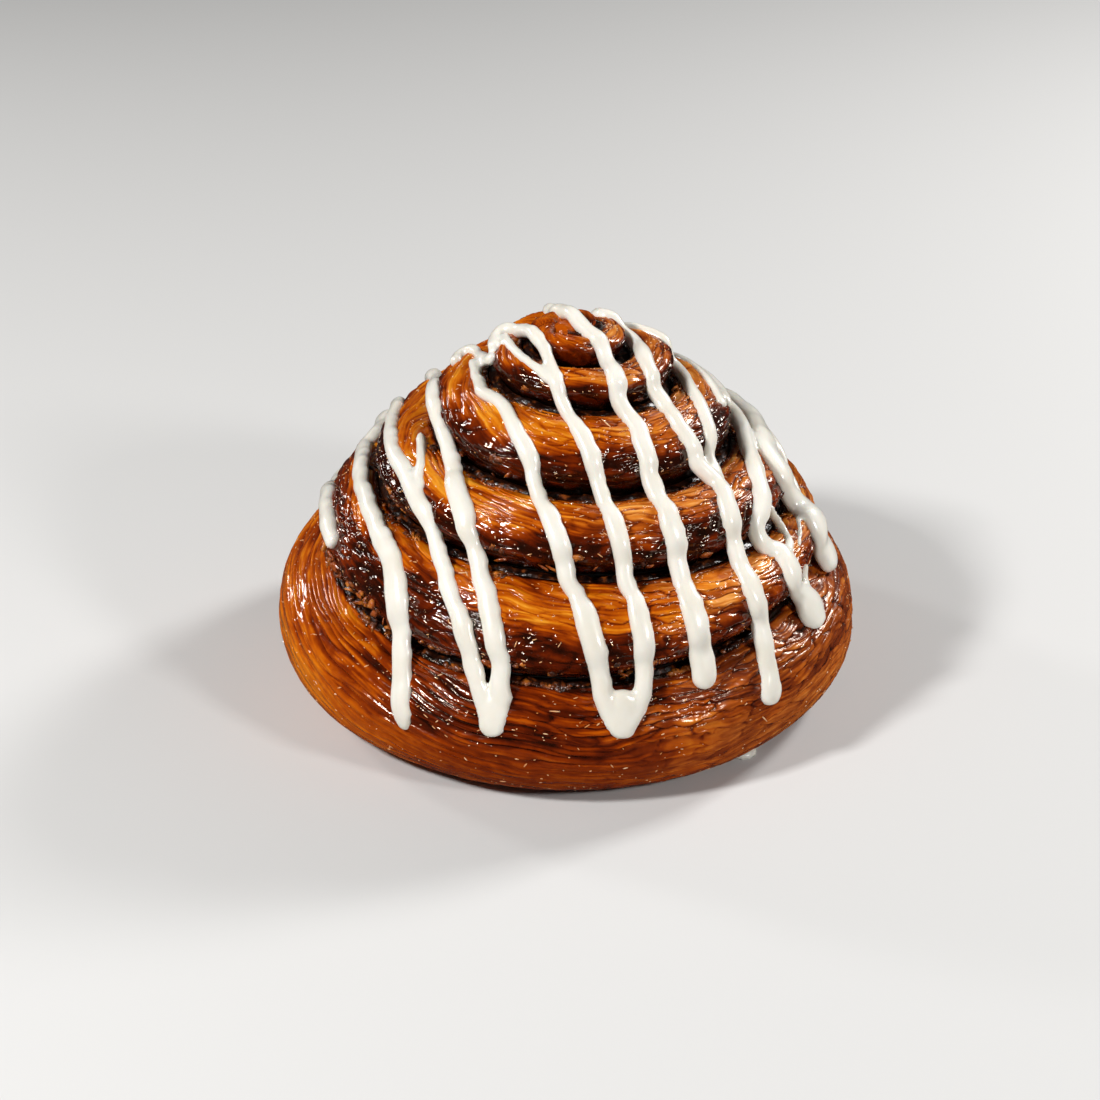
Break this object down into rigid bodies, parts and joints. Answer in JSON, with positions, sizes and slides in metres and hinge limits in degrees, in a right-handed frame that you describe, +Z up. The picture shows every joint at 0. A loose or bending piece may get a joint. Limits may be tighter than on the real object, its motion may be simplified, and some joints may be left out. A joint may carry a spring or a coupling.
{
  "type": "cinnamon roll",
  "caption": "Tall domed cinnamon roll: a coiled strip of glazed dough with a dark cinnamon filling in its grooves and strands of white icing drizzled over it.",
  "frame": {"origin": "on the surface it stands on, under the middle of the roll", "axes": "+Z up, -Y towards the side that the picture shows, +X to that view's right"},
  "size_m": [0.1145, 0.1141, 0.0767],
  "materials": {
    "dough": "baked dough, orange-brown, with a shiny sugar glaze",
    "filling": "dark, sticky and crumbly cinnamon sugar",
    "icing": "thick white sugar icing, set with a soft shine"
  },
  "bodies": {
    "root": {"iced_dough": "dough", "cinnamon_filling": "filling"}
  },
  "joints": []
}
